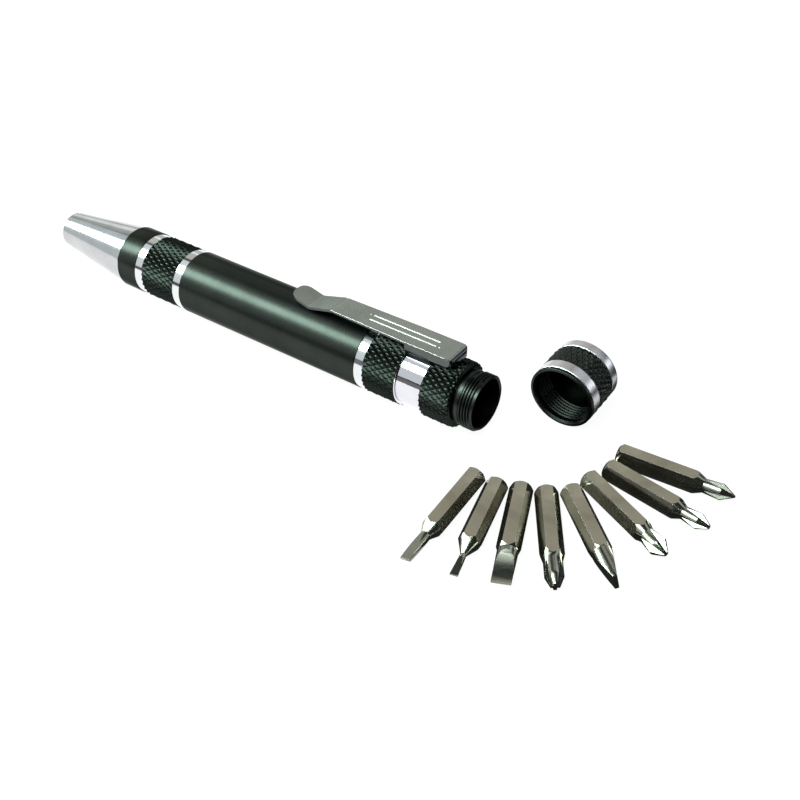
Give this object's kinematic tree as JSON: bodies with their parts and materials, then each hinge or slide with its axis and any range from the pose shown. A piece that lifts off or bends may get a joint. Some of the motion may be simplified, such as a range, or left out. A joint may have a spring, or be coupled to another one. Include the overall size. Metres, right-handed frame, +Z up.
{
  "type": "pocket screwdriver",
  "caption": "Pen-shaped pocket screwdriver with a knurled barrel, a turning spring clip, a hexagonal bit socket, an open storage bore, a screw cap and loose bits.",
  "frame": {"origin": "centre of the storage bore's mouth, on the barrel's axis", "axes": "+X along the barrel and out of the storage bore's mouth, +Z up from the table, +Y to the side on which the cap lies"},
  "size_m": [0.1648, 0.0575, 0.0168],
  "materials": {
    "anodised": "dark green-black satin anodised, with bright cut rings",
    "turned_nose": "bright turned",
    "magnet": "plated",
    "clip": "satin nickel strap, polished band",
    "bits": "satin nickel"
  },
  "bodies": {
    "driver": {"barrel": "anodised", "nose_cone": "turned_nose", "bit_magnet": "magnet"},
    "clip": {"pocket_clip": "clip"},
    "cap": {"cap": "anodised"},
    "medium_slotted_bit": {"slotted_bit_medium": "bits"},
    "fine_slotted_bit": {"slotted_bit_fine": "bits"},
    "wide_slotted_bit": {"slotted_bit_wide": "bits"},
    "heavy_slotted_bit": {"slotted_bit_heavy": "bits"},
    "large_cross_bit": {"cross_bit_large": "bits"},
    "medium_cross_bit": {"cross_bit_medium": "bits"},
    "small_cross_bit": {"cross_bit_small": "bits"},
    "pointed_cross_bit": {"cross_bit_pointed": "bits"}
  },
  "joints": [
    {"name": "clip_turn", "type": "hinge", "parent": "driver", "child": "clip", "pos_m": [-0.0146, 0, 0], "axis": [1, 0, 0], "continuous": true},
    {"name": "cap_lift", "type": "slide", "parent": "driver", "child": "cap", "axis": [0, 0, 1], "range_m": [0, 0.04]},
    {"name": "medium_slotted_bit_lift", "type": "slide", "parent": "driver", "child": "medium_slotted_bit", "axis": [0, 0, 1], "range_m": [0, 0.04]},
    {"name": "fine_slotted_bit_lift", "type": "slide", "parent": "driver", "child": "fine_slotted_bit", "axis": [0, 0, 1], "range_m": [0, 0.04]},
    {"name": "wide_slotted_bit_lift", "type": "slide", "parent": "driver", "child": "wide_slotted_bit", "axis": [0, 0, 1], "range_m": [0, 0.04]},
    {"name": "heavy_slotted_bit_lift", "type": "slide", "parent": "driver", "child": "heavy_slotted_bit", "axis": [0, 0, 1], "range_m": [0, 0.04]},
    {"name": "large_cross_bit_lift", "type": "slide", "parent": "driver", "child": "large_cross_bit", "axis": [0, 0, 1], "range_m": [0, 0.04]},
    {"name": "medium_cross_bit_lift", "type": "slide", "parent": "driver", "child": "medium_cross_bit", "axis": [0, 0, 1], "range_m": [0, 0.04]},
    {"name": "small_cross_bit_lift", "type": "slide", "parent": "driver", "child": "small_cross_bit", "axis": [0, 0, 1], "range_m": [0, 0.04]},
    {"name": "pointed_cross_bit_lift", "type": "slide", "parent": "driver", "child": "pointed_cross_bit", "axis": [0, 0, 1], "range_m": [0, 0.04]}
  ]
}
